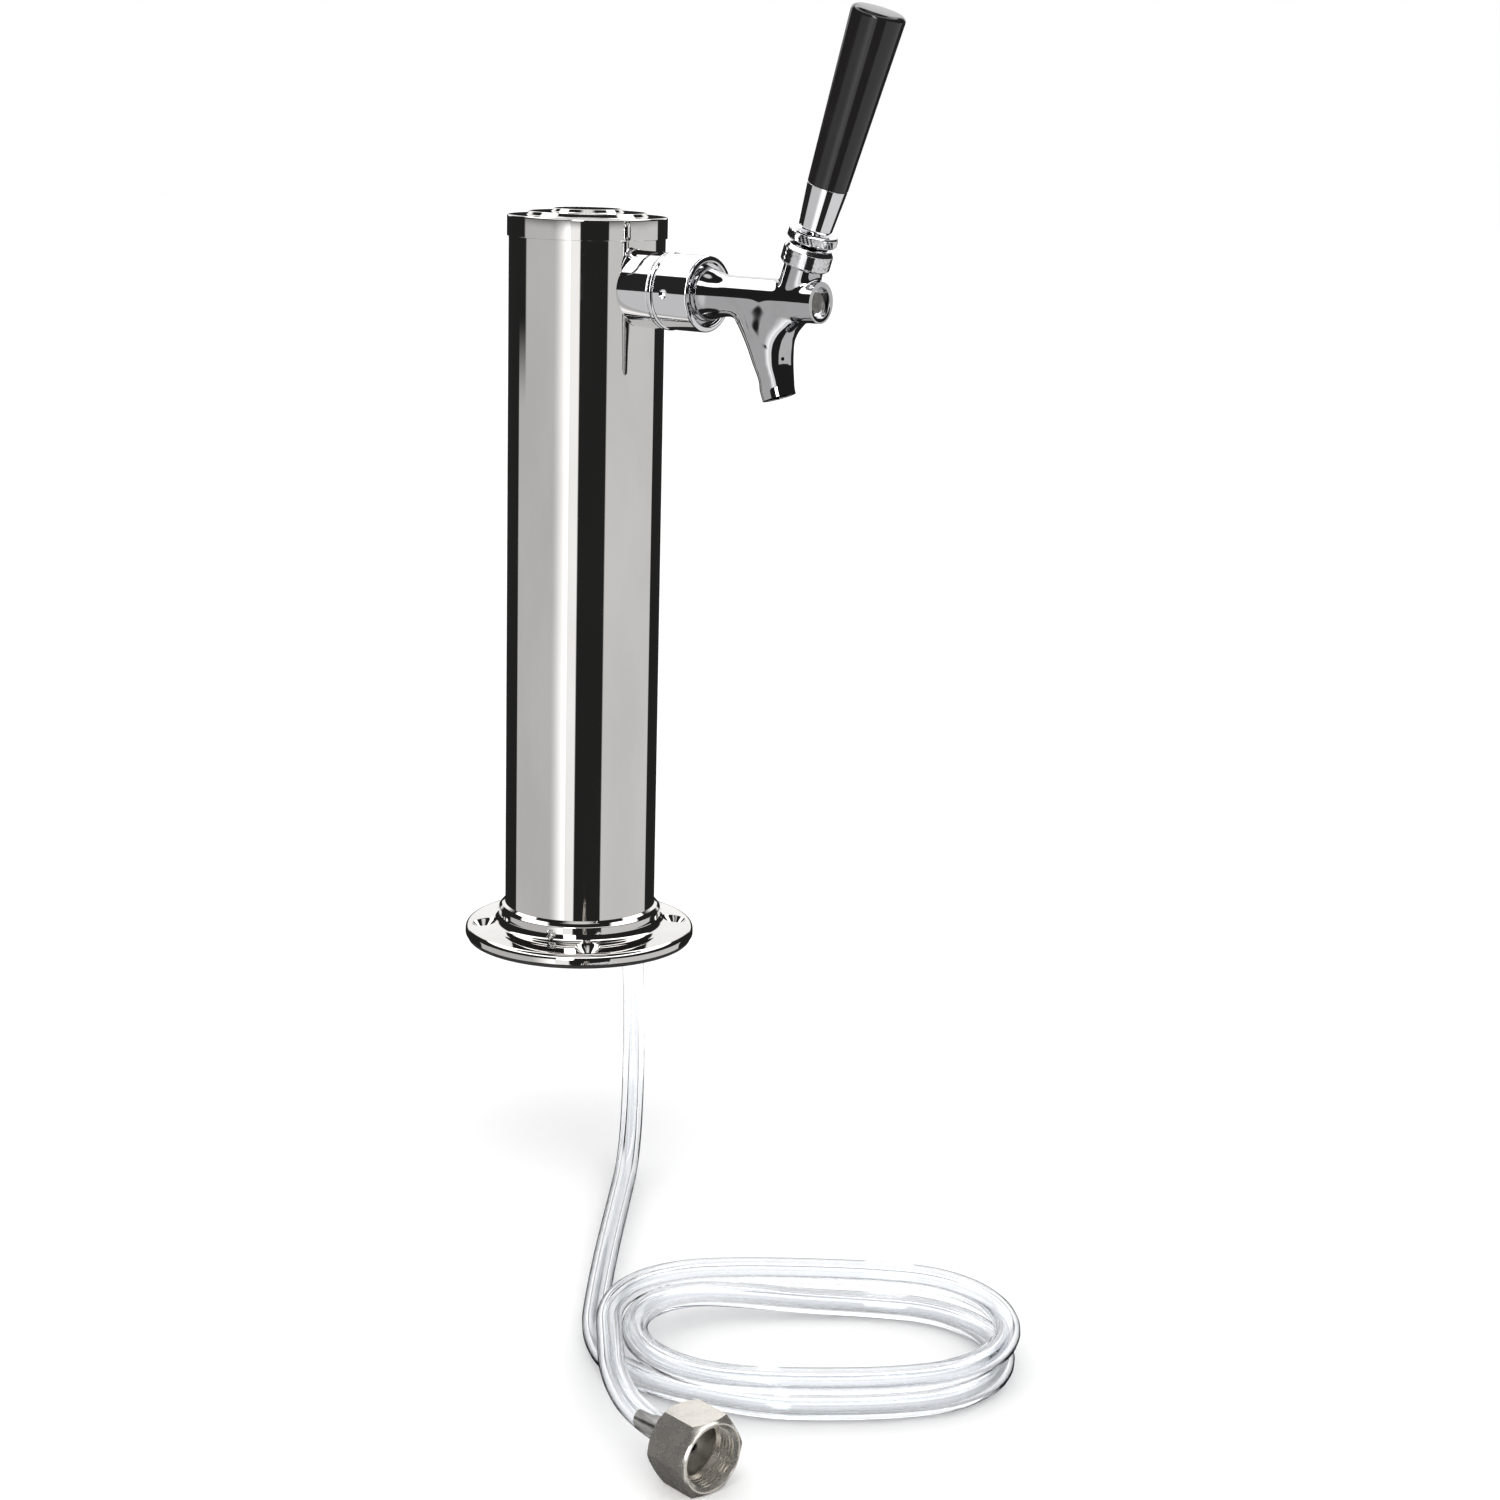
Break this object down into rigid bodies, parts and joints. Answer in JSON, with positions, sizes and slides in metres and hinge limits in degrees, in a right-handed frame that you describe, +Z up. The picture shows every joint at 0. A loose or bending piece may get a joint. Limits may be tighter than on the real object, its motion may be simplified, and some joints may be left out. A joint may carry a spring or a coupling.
{
  "type": "beer tap tower",
  "caption": "Polished stainless draft beer tower with a chrome lever faucet, a flanged base and a clear vinyl beer line ending in a hex coupling nut.",
  "frame": {"origin": "centre of the underside of the base gasket, where the tower stands on the bar top", "axes": "+Z up the column, the faucet points along -Y, +X to the right of a person who faces the back of the tower from the tap side looking along +Y"},
  "size_m": [0.34, 0.397, 0.5694],
  "materials": {
    "polished_stainless": "mirror-polished stainless steel",
    "chrome_plate": "bright chrome plate on brass",
    "black_rubber": "soft black rubber",
    "dark_screw": "plain steel screw with a socket",
    "grey_foam": "closed-cell insulation foam",
    "black_nylon": "moulded nylon",
    "plain_brass": "machined brass",
    "satin_steel": "satin stainless band",
    "plain_steel": "turned stainless steel",
    "black_grip": "glossy black phenolic",
    "clear_vinyl": "clear flexible vinyl hose",
    "nickel_plate": "nickel-plated brass"
  },
  "bodies": {
    "tower": {"column_tube": "polished_stainless", "base_flange": "polished_stainless", "base_gasket": "black_rubber", "collar_set_screws": "dark_screw", "insulation_sleeve": "grey_foam", "shank_sleeve": "chrome_plate", "shank": "chrome_plate", "inner_saddle": "black_nylon", "shank_lock_nut": "plain_brass", "hose_clamp": "satin_steel", "coupling_nut": "chrome_plate", "coupling_washer": "black_rubber", "faucet_body": "chrome_plate", "shaft_guide": "chrome_plate", "lever_seat": "black_rubber", "lever_bushing": "black_nylon", "bonnet": "chrome_plate", "beer_line": "clear_vinyl", "beer_line_coil": "clear_vinyl", "beer_line_tail": "clear_vinyl", "tailpiece": "plain_steel"},
    "cap": {"top_cap": "polished_stainless"},
    "lever": {"ball_lever": "chrome_plate", "lever_collar": "chrome_plate", "handle_ferrule": "chrome_plate", "handle_grip": "black_grip", "handle_insert": "plain_brass"},
    "shaft": {"faucet_shaft": "plain_steel", "seat_washer": "black_rubber", "shaft_nut": "plain_brass"},
    "nut": {"line_nut": "nickel_plate"}
  },
  "joints": [
    {"name": "lever_tilt", "type": "hinge", "parent": "tower", "child": "lever", "pos_m": [0, -0.13016, 0.34812], "axis": [1, 0, 0], "range_deg": [0, 22]},
    {"name": "shaft_slide", "type": "slide", "parent": "tower", "child": "shaft", "axis": [0, 1, 0], "range_m": [0, 0.0067]},
    {"name": "cap_lift", "type": "slide", "parent": "tower", "child": "cap", "axis": [0, 0, 1], "range_m": [0, 0.03]},
    {"name": "nut_swivel", "type": "hinge", "parent": "tower", "child": "nut", "pos_m": [-0.2652, -0.293, -0.09], "axis": [-0.1925, -0.9813, 0], "continuous": true}
  ],
  "couplings": [
    {"joint": "shaft_slide", "follows": "lever_tilt", "m_per_rad": 0.016472}
  ]
}
